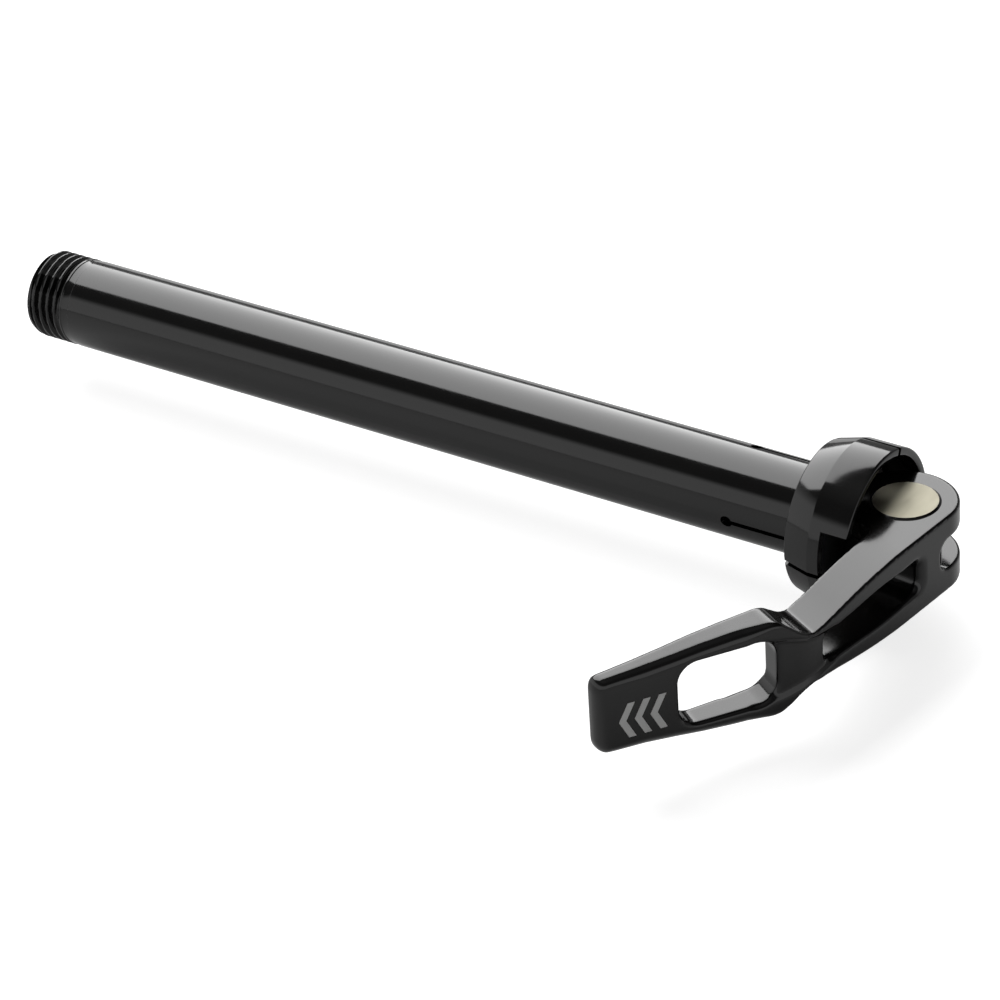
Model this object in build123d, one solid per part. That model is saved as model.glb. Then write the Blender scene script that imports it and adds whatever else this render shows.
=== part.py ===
"""Quick-release thru axle: a hollow shaft with a split, flared head, a draw bolt and a cam lever.

The axle axis is X, with the origin where the head's shoulder meets the frame. +X runs from the
threaded end to the lever, +Z is the lever's pivot axis, and the closed lever points to -Y.
All lengths are in millimetres and all angles in degrees.
"""

from build123d import *
import math
import os

# Shaft
SHAFT_RADIUS = 7.5
SHAFT_LENGTH = 151.6
SHAFT_BORE_RADIUS = 5.3
THREAD_CHAMFER = 0.4
THREAD_LENGTH = 7.4
THREAD_RUNOUT_LENGTH = 1.6
THREAD_RUNOUT_DEPTH = 0.12
BORE_MOUTH_CHAMFER = 0.5

# Flared head
SHOULDER_RADIUS = 12.16
HEAD_RADIUS = 13.42
CONE_LENGTH = 4.72
HEAD_LENGTH = 11.2
RIM_WALL = 1.3
CUP_FLOOR = 2.6
SHOULDER_CHAMFER = 0.35
RIM_CHAMFER = 0.25

# Wedge seat inside the head
SEAT_LENGTH = 7.0
SEAT_INNER_END = -2.0
SEAT_SMALL_RADIUS = 3.6
BOLT_PASSAGE_RADIUS = 3.0

# Slits that let the head open
SLIT_COUNT = 3
SLIT_WIDTH = 0.8
SLIT_ANGLE = -9.0
RELIEF_HOLE_RADIUS = 1.0
RELIEF_HOLE_X = -13.0

# Notch in the rim for the open lever
NOTCH_HALF_ANGLE = 33.5
NOTCH_BOTTOM = 6.6

# Washers in the cup
THRUST_WASHER_THICKNESS = 0.8
THRUST_WASHER_CLEARANCE = 1.72
CAM_WASHER_THICKNESS = 1.4
CAM_WASHER_CLEARANCE = 0.92
WASHER_BORE_RADIUS = 3.0

# Cam and lever hub
CAM_CLEARANCE = 0.04
CAM_HIGH_RADIUS = 9.8
HEEL_RADIUS = 9.3
CAM_LIFT_PER_DEGREE = 0.01
CAM_ARCS = 6
HUB_HALF_HEIGHT = 6.6
FORK_GAP_HALF = 2.65
FORK_WEB_SETBACK = 2.9
FORK_WEB_FILLET = 2.2

# Lever arm and paddle, as seen along the pivot
ARM_ANGLE = 6.6
ARM_WIDTH = 7.6
ARM_NOTCH_FILLET = 2.0
KNUCKLE_X = 18.7
KNUCKLE_Y = -35.4
PADDLE_ANGLE = 34.6
PADDLE_TAPER = 4.8
PADDLE_LENGTH = 34.1
PADDLE_TIP_THICKNESS = 3.0
KNUCKLE_OUTER_FILLET = 10.0
KNUCKLE_INNER_FILLET = 7.0
TIP_FILLET = 1.2

# Lever as seen from the side, measured from the pivot along the lever
SIDE_VIEW_ANGLE = 28.4
ARM_TAPER_START = 8.0
ARM_MIDDLE = 16.8
ARM_MIDDLE_HALF_HEIGHT = 6.0
NECK_START = 25.1
NECK_HALF_HEIGHT = 4.75
ARM_TOP_END = 28.8
ARM_TOP_END_HALF_HEIGHT = 4.35
RAMP_LOW = 31.0
RAMP_LOW_HALF_HEIGHT = 5.2
RAMP_HIGH = 33.2
RAMP_HIGH_HALF_HEIGHT = 6.95
PADDLE_START = 35.6
PADDLE_HALF_HEIGHT = 8.3
PADDLE_TIP_HALF_HEIGHT = 6.4
TIP_CORNER_RADIUS = 2.2
TIP_MARGIN = 0.15

# Openings in the lever
ARM_SLOT_START = 6.8
ARM_SLOT_END = 32.4
ARM_SLOT_START_HALF_HEIGHT = 2.9
ARM_SLOT_HALF_HEIGHT = 3.7
ARM_SLOT_END_HALF_HEIGHT = 2.2
ARM_SLOT_FILLET = 1.6
FINGER_HOLE_LENGTH = 16.0
FINGER_HOLE_HALF_HEIGHT = 5.4
FINGER_HOLE_TIP_MARGIN = 12.6
FINGER_HOLE_FILLET = 3.2

# Pivot pin, a barrel nut
PIN_RADIUS = 4.85
PIN_CLEARANCE = 0.05
PIN_PROUD = 0.28
PIN_CHAMFER = 0.3
PIN_RING_RADIUS = 5.4
PIN_RING_DEPTH = 0.35

# Draw bolt
BOLT_RADIUS = 2.5
BOLT_END_MARGIN = 0.9
BOLT_HEAD_RADIUS = 4.25
BOLT_HEAD_LENGTH = 4.0
BOLT_KEY_FLATS = 4.0
BOLT_KEY_DEPTH = 2.4
BOLT_CHAMFER = 0.4

# Expander wedge
WEDGE_LENGTH = 9.4
WEDGE_CLEARANCE = 0.05
WEDGE_LARGE_CLEARANCE = 0.1
WEDGE_NOSE_GAP = 0.5
WEDGE_BORE_CLEARANCE = 0.1
O_RING_THICKNESS = 1.1
O_RING_CLEARANCE = 0.04
O_RING_SETBACK = 1.0
O_RING_SIDES = 10

OVERSHOOT = 5.0

cup_radius = HEAD_RADIUS - RIM_WALL
contact_x = CUP_FLOOR + THRUST_WASHER_THICKNESS + CAM_WASHER_THICKNESS
pivot_x = contact_x + CAM_CLEARANCE + CAM_HIGH_RADIUS
cam_slope = CAM_LIFT_PER_DEGREE * 180 / math.pi


def direction(angle):
    """Unit vector in the XY plane at an angle from +X."""
    return Vector(math.cos(math.radians(angle)), math.sin(math.radians(angle)))


def crossing(first_point, first_direction, second_point, second_direction):
    """Point where two straight lines in the XY plane meet."""
    gap = second_point - first_point
    cross = first_direction.X * second_direction.Y - first_direction.Y * second_direction.X
    along = (gap.X * second_direction.Y - gap.Y * second_direction.X) / cross
    return first_point + first_direction * along


def revolved(points):
    """Solid of revolution about X from a closed outline of (x, radius) points."""
    outline = Polyline([(x, radius) for x, radius in points], close=True)
    return revolve(make_face(outline), axis=Axis.X)


def cam_point(angle):
    """Point of the cam whose flat follower, at this angle, moves evenly as the lever turns."""
    reach = CAM_HIGH_RADIUS - CAM_LIFT_PER_DEGREE * (180 - angle)
    return Vector(pivot_x, 0) + direction(angle) * reach + direction(angle + 90) * cam_slope


# Shaft, head, wedge seat, slits and notch
def axle_shaft():
    thread_end = -SHAFT_LENGTH
    root_end = thread_end + THREAD_LENGTH
    runout_end = root_end + THREAD_RUNOUT_LENGTH
    seat_outer_end = SEAT_INNER_END - SEAT_LENGTH
    body = revolved([
        (thread_end, SHAFT_BORE_RADIUS + BORE_MOUTH_CHAMFER),
        (thread_end, SHAFT_RADIUS - THREAD_CHAMFER),
        (thread_end + THREAD_CHAMFER, SHAFT_RADIUS),
        (root_end, SHAFT_RADIUS),
        (root_end, SHAFT_RADIUS - THREAD_RUNOUT_DEPTH),
        (runout_end, SHAFT_RADIUS - THREAD_RUNOUT_DEPTH),
        (runout_end, SHAFT_RADIUS),
        (0, SHAFT_RADIUS),
        (0, SHOULDER_RADIUS - SHOULDER_CHAMFER),
        (SHOULDER_CHAMFER, SHOULDER_RADIUS),
        (CONE_LENGTH, HEAD_RADIUS),
        (HEAD_LENGTH - RIM_CHAMFER, HEAD_RADIUS),
        (HEAD_LENGTH, HEAD_RADIUS - RIM_CHAMFER),
        (HEAD_LENGTH, cup_radius + RIM_CHAMFER),
        (HEAD_LENGTH - RIM_CHAMFER, cup_radius),
        (CUP_FLOOR, cup_radius),
        (CUP_FLOOR, BOLT_PASSAGE_RADIUS),
        (SEAT_INNER_END, BOLT_PASSAGE_RADIUS),
        (SEAT_INNER_END, SEAT_SMALL_RADIUS),
        (seat_outer_end, SHAFT_BORE_RADIUS),
        (thread_end + BORE_MOUTH_CHAMFER, SHAFT_BORE_RADIUS),
    ])
    slit_length = HEAD_LENGTH + OVERSHOOT - RELIEF_HOLE_X
    blade = Pos(RELIEF_HOLE_X, 0, 0) * Box(
        slit_length, HEAD_RADIUS + OVERSHOOT, SLIT_WIDTH, align=(Align.MIN, Align.MAX, Align.CENTER)
    )
    drill = Pos(RELIEF_HOLE_X, 0, 0) * Rot(90, 0, 0) * Cylinder(
        RELIEF_HOLE_RADIUS, SHAFT_RADIUS + OVERSHOOT, align=(Align.CENTER, Align.CENTER, Align.MIN)
    )
    for index in range(SLIT_COUNT):
        turn = Rot(-(SLIT_ANGLE + index * 360 / SLIT_COUNT), 0, 0)
        body -= turn * (blade + drill)
    return body - Rot(-SLIT_ANGLE, 0, 0) * rim_notch()


# The notch is a sector about -Y that opens the rim, centred on the first slit
def rim_notch():
    reach = HEAD_RADIUS + OVERSHOOT
    half_width = reach * math.tan(math.radians(NOTCH_HALF_ANGLE))
    sector = make_face(Polyline([(0, 0), (-reach, -half_width), (-reach, half_width)], close=True))
    return extrude(Plane.YZ.offset(NOTCH_BOTTOM) * sector, amount=HEAD_LENGTH)


# Lever, one forging
def lever():
    body = lever_outline() & lever_side_view()
    body -= fork_gap()
    body -= arm_slot()
    body -= finger_hole()
    ring_top = HUB_HALF_HEIGHT - PIN_RING_DEPTH
    hole = Pos(pivot_x, 0, 0) * Cylinder(PIN_RADIUS + PIN_CLEARANCE, 2 * HUB_HALF_HEIGHT + OVERSHOOT)
    for side in (0, 180):
        ring = Pos(pivot_x, 0, 0) * Rot(side, 0, 0) * Pos(0, 0, ring_top) * Cylinder(
            PIN_RING_RADIUS, OVERSHOOT, align=(Align.CENTER, Align.CENTER, Align.MIN)
        )
        hole += ring
    return body - hole


def lever_lines():
    """Corner points of the arm and paddle outline, from the heel round to the outer side."""
    arm_direction = direction(-90 - ARM_ANGLE)
    outer_start = cam_point(-ARM_ANGLE)
    knuckle_outer = crossing(
        outer_start, arm_direction, Vector(KNUCKLE_X, KNUCKLE_Y), direction(-90 - PADDLE_ANGLE)
    )
    inner_start = outer_start - direction(-ARM_ANGLE) * ARM_WIDTH
    paddle_direction = direction(-90 - PADDLE_ANGLE)
    across = direction(180 - PADDLE_ANGLE)
    tip_outer = knuckle_outer + paddle_direction * PADDLE_LENGTH
    tip_inner = tip_outer + across * PADDLE_TIP_THICKNESS
    inner_direction = direction(-90 - PADDLE_ANGLE + PADDLE_TAPER)
    knuckle_inner = crossing(tip_inner, inner_direction, inner_start, arm_direction)
    pivot = Vector(pivot_x, 0)
    inner_foot = inner_start + arm_direction * (pivot - inner_start).dot(arm_direction)
    rise = math.sqrt(HEEL_RADIUS**2 - (inner_foot - pivot).length ** 2)
    heel_end = inner_foot + arm_direction * rise
    return heel_end, knuckle_inner, tip_inner, tip_outer, knuckle_outer, outer_start


def lever_outline():
    heel_end, knuckle_inner, tip_inner, tip_outer, knuckle_outer, outer_start = lever_lines()
    arc_angle = (180 + ARM_ANGLE) / CAM_ARCS
    cam = []
    for index in range(CAM_ARCS):
        angles = [-ARM_ANGLE + (index + share) * arc_angle for share in (0, 0.5, 1)]
        cam.append(ThreePointArc(*[cam_point(angle) for angle in angles]))
    heel_middle = Vector(pivot_x, 0) + direction(225) * (CAM_HIGH_RADIUS + HEEL_RADIUS) / 2
    face = make_face([
        *cam,
        ThreePointArc(cam_point(180), heel_middle, heel_end),
        Line(heel_end, knuckle_inner),
        Line(knuckle_inner, tip_inner),
        Line(tip_inner, tip_outer),
        Line(tip_outer, knuckle_outer),
        Line(knuckle_outer, outer_start),
    ])
    for corner, radius in (
        (heel_end, ARM_NOTCH_FILLET),
        (knuckle_inner, KNUCKLE_INNER_FILLET),
        (knuckle_outer, KNUCKLE_OUTER_FILLET),
        (tip_inner, TIP_FILLET),
        (tip_outer, TIP_FILLET),
    ):
        nearest = face.vertices().sort_by_distance(corner)[0]
        face = fillet(nearest, radius)
    return extrude(face, amount=PADDLE_HALF_HEIGHT + OVERSHOOT, both=True)


def lever_side_plane():
    """Plane that holds the side view: x along the lever, y up."""
    along = direction(-90 - SIDE_VIEW_ANGLE)
    return Plane(origin=(pivot_x, 0, 0), x_dir=along, z_dir=along.cross(Vector(0, 0, 1)))


def lever_side_view():
    tip_inner, tip_outer = lever_lines()[2:4]
    along = direction(-90 - SIDE_VIEW_ANGLE)
    pivot = Vector(pivot_x, 0)
    reach = max((tip - pivot).dot(along) for tip in (tip_inner, tip_outer)) + TIP_MARGIN
    back = -CAM_HIGH_RADIUS - OVERSHOOT
    paddle_drop = (PADDLE_HALF_HEIGHT - PADDLE_TIP_HALF_HEIGHT) / (reach - PADDLE_START)
    arm_top = Spline(
        [
            (ARM_TAPER_START, HUB_HALF_HEIGHT),
            (ARM_MIDDLE, ARM_MIDDLE_HALF_HEIGHT),
            (NECK_START, NECK_HALF_HEIGHT),
            (ARM_TOP_END, ARM_TOP_END_HALF_HEIGHT),
        ],
        tangents=[(1, 0), (1, -0.08)],
    )
    ramp = Spline(
        [
            (ARM_TOP_END, ARM_TOP_END_HALF_HEIGHT),
            (RAMP_LOW, RAMP_LOW_HALF_HEIGHT),
            (RAMP_HIGH, RAMP_HIGH_HALF_HEIGHT),
            (PADDLE_START, PADDLE_HALF_HEIGHT),
        ],
        tangents=[(1, 0.15), (1, -paddle_drop)],
    )
    upper = make_face([
        Line((back, 0), (back, HUB_HALF_HEIGHT)),
        Line((back, HUB_HALF_HEIGHT), (ARM_TAPER_START, HUB_HALF_HEIGHT)),
        arm_top,
        ramp,
        Line((PADDLE_START, PADDLE_HALF_HEIGHT), (reach, PADDLE_TIP_HALF_HEIGHT)),
        Line((reach, PADDLE_TIP_HALF_HEIGHT), (reach, 0)),
        Line((reach, 0), (back, 0)),
    ])
    corner = upper.vertices().sort_by_distance((reach, PADDLE_TIP_HALF_HEIGHT))[0]
    upper = fillet(corner, TIP_CORNER_RADIUS)
    face = lever_side_plane() * (upper + mirror(upper, about=Plane.XZ))
    return extrude(face, amount=HEAD_RADIUS * 3, both=True)


# The gap between the two ears, where the draw bolt swings
def fork_gap():
    reach = CAM_HIGH_RADIUS + OVERSHOOT
    gap = Box(2 * reach, 2 * reach, 2 * FORK_GAP_HALF, align=(Align.CENTER, Align.MIN, Align.CENTER))
    gap = fillet(gap.edges().filter_by(Axis.X).group_by(Axis.Y)[0], FORK_WEB_FILLET)
    return Pos(pivot_x, -FORK_WEB_SETBACK, 0) * gap


# The slot through the arm, square to the arm's outer face and measured from the pivot
def arm_slot():
    start, end = ARM_SLOT_START, ARM_SLOT_END
    upper = Spline(
        [
            (start, ARM_SLOT_START_HALF_HEIGHT),
            ((start + end) / 2, ARM_SLOT_HALF_HEIGHT),
            (end, ARM_SLOT_END_HALF_HEIGHT),
        ],
    )
    profile = make_face([
        upper,
        Line((end, ARM_SLOT_END_HALF_HEIGHT), (end, -ARM_SLOT_END_HALF_HEIGHT)),
        mirror(upper, about=Plane.XZ),
        Line((start, -ARM_SLOT_START_HALF_HEIGHT), (start, ARM_SLOT_START_HALF_HEIGHT)),
    ])
    profile = fillet(profile.vertices(), ARM_SLOT_FILLET)
    along = direction(-90 - ARM_ANGLE)
    plane = Plane(origin=(pivot_x, 0, 0), x_dir=along, z_dir=along.cross(Vector(0, 0, 1)))
    return extrude(plane * profile, amount=HEAD_RADIUS * 3, both=True)


def paddle_plane():
    """Plane of the paddle's outer face: x along the paddle from the tip, y up."""
    tip_outer = lever_lines()[3]
    along = -direction(-90 - PADDLE_ANGLE)
    return Plane(origin=tip_outer, x_dir=along, z_dir=along.cross(Vector(0, 0, 1)))


def finger_hole():
    middle = FINGER_HOLE_TIP_MARGIN + FINGER_HOLE_LENGTH / 2
    profile = RectangleRounded(FINGER_HOLE_LENGTH, 2 * FINGER_HOLE_HALF_HEIGHT, FINGER_HOLE_FILLET)
    return extrude(paddle_plane() * Pos(middle, 0) * profile, amount=OVERSHOOT * 2, both=True)


# Pivot pin with a cross hole for the draw bolt
def pivot_pin():
    half_length = HUB_HALF_HEIGHT + PIN_PROUD
    barrel = Cylinder(PIN_RADIUS, 2 * half_length)
    barrel = chamfer(barrel.edges().filter_by(GeomType.CIRCLE), PIN_CHAMFER)
    return Pos(pivot_x, 0, 0) * barrel - bolt_shank()


def bolt_shank():
    """Threaded length of the draw bolt, from the wedge's back face into the pivot pin."""
    end = pivot_x + PIN_RADIUS - BOLT_END_MARGIN
    start = wedge_back()
    shank = Cylinder(BOLT_RADIUS, end - start, align=(Align.CENTER, Align.CENTER, Align.MIN))
    return Pos(start, 0, 0) * Rot(0, 90, 0) * shank


def wedge_nose():
    """X of the wedge's small end when the lever is closed."""
    return SEAT_INNER_END - WEDGE_NOSE_GAP


def wedge_back():
    """X of the wedge's large end, where the bolt's head bears."""
    return wedge_nose() - WEDGE_LENGTH


# Draw bolt with its key socket towards the threaded end
def draw_bolt():
    head_start = wedge_back() - BOLT_HEAD_LENGTH
    head = Cylinder(BOLT_HEAD_RADIUS, BOLT_HEAD_LENGTH, align=(Align.CENTER, Align.CENTER, Align.MIN))
    head = chamfer(head.edges().filter_by(GeomType.CIRCLE).sort_by(Axis.Z)[0], BOLT_CHAMFER)
    socket = extrude(
        RegularPolygon(BOLT_KEY_FLATS / 2, 6, major_radius=False), amount=BOLT_KEY_DEPTH
    )
    head = Pos(head_start, 0, 0) * Rot(0, 90, 0) * (head - socket)
    return head + bolt_shank()


# Tapered wedge that spreads the head as the bolt is drawn towards the lever
def seat_radius(x):
    """Radius of the tapered seat at a place along the axis."""
    share = (SEAT_INNER_END - x) / SEAT_LENGTH
    return SEAT_SMALL_RADIUS + share * (SHAFT_BORE_RADIUS - SEAT_SMALL_RADIUS)


def expander_wedge():
    nose, back = wedge_nose(), wedge_back()
    seat_outer_end = SEAT_INNER_END - SEAT_LENGTH
    large = SHAFT_BORE_RADIUS - WEDGE_LARGE_CLEARANCE
    bore = BOLT_RADIUS + WEDGE_BORE_CLEARANCE
    groove_end = back + O_RING_SETBACK + O_RING_THICKNESS
    groove_radius = SHAFT_BORE_RADIUS - O_RING_THICKNESS
    return revolved([
        (nose, bore),
        (nose, seat_radius(nose) - WEDGE_CLEARANCE),
        (seat_outer_end, large - WEDGE_CLEARANCE),
        (groove_end, large - WEDGE_CLEARANCE),
        (groove_end, groove_radius),
        (back + O_RING_SETBACK, groove_radius),
        (back + O_RING_SETBACK, large - WEDGE_CLEARANCE),
        (back, large - WEDGE_CLEARANCE),
        (back, bore),
    ])


# Ring that centres the wedge in the bore
def wedge_o_ring():
    inner = SHAFT_BORE_RADIUS - O_RING_THICKNESS + O_RING_CLEARANCE
    outer = SHAFT_BORE_RADIUS - O_RING_CLEARANCE
    section = (outer - inner) / 2
    middle = wedge_back() + O_RING_SETBACK + O_RING_THICKNESS / 2
    angles = [index * 2 * math.pi / O_RING_SIDES for index in range(O_RING_SIDES)]
    return revolved([
        (middle + section * math.sin(angle), inner + section * (1 + math.cos(angle)))
        for angle in angles
    ])


def washer(start, thickness, radius):
    """Flat ring that lies in the cup round the draw bolt."""
    end = start + thickness
    return revolved([(start, WASHER_BORE_RADIUS), (start, radius), (end, radius), (end, WASHER_BORE_RADIUS)])


def thrust_washer():
    return washer(CUP_FLOOR, THRUST_WASHER_THICKNESS, cup_radius - THRUST_WASHER_CLEARANCE)


def cam_washer():
    start = CUP_FLOOR + THRUST_WASHER_THICKNESS
    return washer(start, CAM_WASHER_THICKNESS, cup_radius - CAM_WASHER_CLEARANCE)


os.makedirs("parts", exist_ok=True)
for build in (
    axle_shaft,
    lever,
    pivot_pin,
    draw_bolt,
    expander_wedge,
    wedge_o_ring,
    thrust_washer,
    cam_washer,
):
    piece = build()
    export_step(piece, f"parts/{build.__name__}.step")
    print(build.__name__, "volume", round(piece.volume, 1))
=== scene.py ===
"""Looks of a bicycle thru axle with a cam lever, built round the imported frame.

Sizes in the classes are in millimetres and every mesh is put into Blender in metres. The axle lies
along X, the lever turns about Z, and the closed lever points to -Y.
"""
import logging
import math
from collections.abc import Callable
from dataclasses import dataclass, field
from enum import Enum

import bmesh
import bpy
import numpy as np
from mathutils import Matrix, Vector


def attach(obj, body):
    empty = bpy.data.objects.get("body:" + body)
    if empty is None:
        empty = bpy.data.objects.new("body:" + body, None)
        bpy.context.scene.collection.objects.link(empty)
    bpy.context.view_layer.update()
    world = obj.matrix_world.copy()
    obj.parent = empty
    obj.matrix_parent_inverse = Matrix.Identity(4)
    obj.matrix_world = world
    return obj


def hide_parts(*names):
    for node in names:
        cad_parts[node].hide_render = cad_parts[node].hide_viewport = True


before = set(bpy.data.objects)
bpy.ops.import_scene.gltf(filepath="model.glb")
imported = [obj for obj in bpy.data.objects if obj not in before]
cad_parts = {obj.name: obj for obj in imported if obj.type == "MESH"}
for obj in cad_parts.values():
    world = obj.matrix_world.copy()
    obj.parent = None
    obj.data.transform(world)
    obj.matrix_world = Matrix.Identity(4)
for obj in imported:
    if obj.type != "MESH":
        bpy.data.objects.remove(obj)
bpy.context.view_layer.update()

LOG = logging.getLogger("thru_axle")
MM = 0.001
SHARP_ANGLE = 35.0
TINY_RADIUS = 0.01

Array = np.ndarray
Distance = Callable[[Array, Array, Array], Array]
Thing = bpy.types.Object
Tree = bpy.types.NodeTree
Socket = bpy.types.NodeSocket


class Body(Enum):
    """Bodies of the frame that a piece can ride on."""

    AXLE = "axle"
    DRAWBAR = "drawbar"
    LEVER = "lever"


class Slot(Enum):
    """Material slots of the record."""

    SHAFT_BLACK = "black_anodised"
    LEVER_BLACK = "black_gloss"
    CHAMPAGNE = "champagne_anodised"


# Flat shapes and paths


def heading(angle: float) -> Array:
    """Unit vector in the XY plane at an angle in degrees from +X."""
    return np.array([math.cos(math.radians(angle)), math.sin(math.radians(angle))])


def crossing(first: Array, first_way: Array, second: Array, second_way: Array) -> Array:
    """Point where two straight lines meet, from the cross products of their directions.

    Args:
        first: a point of the first line.
        first_way: its direction.
        second: a point of the second line.
        second_way: its direction.

    Returns:
        The crossing point.
    """
    gap = second - first
    turn = first_way[0] * second_way[1] - first_way[1] * second_way[0]
    return first + first_way * (gap[0] * second_way[1] - gap[1] * second_way[0]) / turn


def rounded_ring(corners: list[tuple[float, float, float]], steps: int = 8) -> Array:
    """Closed outline whose corners are arcs, which touch their runs at radius over tan of half the corner.

    Args:
        corners: (x, y, radius) of each corner in order.
        steps: pieces of each arc.

    Returns:
        The points of the outline, one row each.
    """
    spots = np.array([corner[:2] for corner in corners])
    radii = np.array([corner[2] for corner in corners])
    back = np.roll(spots, 1, 0) - spots
    ahead = np.roll(spots, -1, 0) - spots
    back /= np.linalg.norm(back, axis=1)[:, None]
    ahead /= np.linalg.norm(ahead, axis=1)[:, None]
    half = np.arccos(np.clip((back * ahead).sum(1), -1, 1)) / 2
    inward = back + ahead
    inward /= np.maximum(np.linalg.norm(inward, axis=1), 1e-9)[:, None]
    centres = spots + inward * (radii / np.sin(half))[:, None]
    starts = spots + back * (radii / np.tan(half))[:, None] - centres
    turn = np.sign(back[:, 0] * ahead[:, 1] - back[:, 1] * ahead[:, 0]) * -1
    sweep = (math.pi - 2 * half) * turn
    angles = sweep[:, None] * np.linspace(0, 1, steps + 1)[None]
    x = centres[:, :1] + starts[:, :1] * np.cos(angles) - starts[:, 1:] * np.sin(angles)
    y = centres[:, 1:] + starts[:, :1] * np.sin(angles) + starts[:, 1:] * np.cos(angles)
    ring = np.stack([x.ravel(), y.ravel()], 1)
    keep = np.linalg.norm(ring - np.roll(ring, 1, 0), axis=1) > 1e-6
    return ring[keep]


def flowing(knots: tuple[tuple[float, float], ...], count: int, slopes: tuple[float, float]) -> Array:
    """Smooth height over a length: a cubic between each two knots, with slopes from the knots beside.

    Args:
        knots: (place, height) pairs, in order of place.
        count: points wanted.
        slopes: slope at the first and at the last knot.

    Returns:
        (place, height) rows.
    """
    place, height = np.array(knots).T
    slope = np.gradient(height, place)
    slope[0], slope[-1] = slopes
    wanted = np.linspace(place[0], place[-1], count)
    index = np.clip(np.searchsorted(place, wanted) - 1, 0, len(place) - 2)
    width = place[index + 1] - place[index]
    share = (wanted - place[index]) / width
    value = (
        (2 * share**3 - 3 * share**2 + 1) * height[index]
        + (share**3 - 2 * share**2 + share) * width * slope[index]
        + (3 * share**2 - 2 * share**3) * height[index + 1]
        + (share**3 - share**2) * width * slope[index + 1]
    )
    return np.stack([wanted, value], 1)


def ring_distance(spots: Array, ring: Array) -> Array:
    """Signed distance to a closed outline: that of the nearest run, negative where a ray crosses it oddly.

    Args:
        spots: (n, 2) points.
        ring: (m, 2) corners of the outline.

    Returns:
        n distances.
    """
    batch = 3_000_000
    start, run = ring, np.roll(ring, -1, 0) - ring
    rise = np.where(run[:, 1] == 0, 1.0, run[:, 1])
    result = np.empty(len(spots))
    for part in np.array_split(np.arange(len(spots)), len(spots) * len(ring) // batch + 1):
        gap = spots[part][:, None] - start
        along = np.clip((gap * run).sum(-1) / (run * run).sum(-1), 0, 1)
        near = np.linalg.norm(gap - along[..., None] * run, axis=-1).min(1)
        spans = (gap[..., 1] < 0) != (gap[..., 1] < run[:, 1])
        crossed = spans & (gap[..., 0] < gap[..., 1] * run[:, 0] / rise)
        result[part] = np.where(crossed.sum(1) % 2 == 1, -near, near)
    return result


def table_value(place: Array, table: tuple[tuple[float, float], ...]) -> Array:
    """Value at each place, in a straight line between the (place, value) rows of a table."""
    return np.interp(place, *zip(*table))


@dataclass
class DistanceMap:
    """Signed distance to a closed outline, kept on a grid and read back between its points."""

    ring: Array
    margin: float = 2.5
    step: float = 0.08
    low: Array = field(init=False)
    grid: Array = field(init=False)

    def __post_init__(self) -> None:
        """Fill the grid from the outline."""
        self.low = self.ring.min(0) - self.margin
        size = ((self.ring.max(0) + self.margin - self.low) / self.step).astype(int) + 2
        u, v = np.meshgrid(*[np.arange(n) * self.step for n in size], indexing="ij")
        spots = np.stack([u.ravel(), v.ravel()], 1) + self.low
        self.grid = ring_distance(spots, self.ring).reshape(size)

    def at(self, u: Array, v: Array) -> Array:
        """Distance at any points, weighted between the four grid points round each.

        Args:
            u: first coordinates.
            v: second coordinates.

        Returns:
            Distances of the same shape.
        """
        a = np.clip((u - self.low[0]) / self.step, 0, self.grid.shape[0] - 1.001)
        b = np.clip((v - self.low[1]) / self.step, 0, self.grid.shape[1] - 1.001)
        i, j = a.astype(int), b.astype(int)
        a, b = a - i, b - j
        lower = self.grid[i, j] * (1 - a) + self.grid[i + 1, j] * a
        upper = self.grid[i, j + 1] * (1 - a) + self.grid[i + 1, j + 1] * a
        return lower * (1 - b) + upper * b


def round_and(first: Array, second: Array, radius: Array | float) -> Array:
    """Distance to what two shapes share, with the edge between them rounded to a radius.

    The larger distance holds inside, and within a radius of both walls it is the length of the two
    distances measured from the arc's centre, less the radius.

    Args:
        first: distances to one shape.
        second: distances to the other.
        radius: radius of the edge, one or one for each place.

    Returns:
        Distances to what they share.
    """
    corner = np.hypot(np.maximum(first + radius, 0), np.maximum(second + radius, 0))
    return np.minimum(np.maximum(first, second), -radius) + corner


def round_or(first: Array, second: Array, radius: Array | float) -> Array:
    """Distance to two shapes joined, their inner corner filled to a radius: round_and inside out."""
    return -round_and(-first, -second, radius)


# Meshes


def put_mesh(name: str, points: Array, faces: list | Array) -> Thing:
    """Object at the origin with a mesh from millimetre points.

    Args:
        name: the object's name.
        points: (n, 3) points in millimetres.
        faces: corner indices of each face.

    Returns:
        The new object, smooth shaded.
    """
    mesh = bpy.data.meshes.new(name)
    corners = faces.tolist() if isinstance(faces, np.ndarray) else faces
    mesh.from_pydata((points * MM).tolist(), [], corners)
    mesh.update()
    thing = bpy.data.objects.new(name, mesh)
    bpy.context.scene.collection.objects.link(thing)
    smooth(thing, SHARP_ANGLE)
    return thing


def smooth(thing: Thing, sharp_angle: float) -> None:
    """Smooth shading with sharp edges where the faces turn by more degrees than given."""
    thing.data.shade_smooth()
    thing.data.set_sharp_from_angle(angle=math.radians(sharp_angle))


def grid_faces(rows: int, columns: int, wrap_rows: bool, wrap_columns: bool) -> Array:
    """Corner indices of the quads of a grid of points.

    Args:
        rows: number of rows.
        columns: points in a row.
        wrap_rows: whether the last row joins the first.
        wrap_columns: whether the last column joins the first.

    Returns:
        Four indices for each quad.
    """
    i, j = np.meshgrid(
        np.arange(rows if wrap_rows else rows - 1),
        np.arange(columns if wrap_columns else columns - 1),
        indexing="ij",
    )
    i, j = i.ravel(), j.ravel()
    down, right = (i + 1) % rows, (j + 1) % columns
    return np.stack([i * columns + j, i * columns + right, down * columns + right, down * columns + j], 1)


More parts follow.
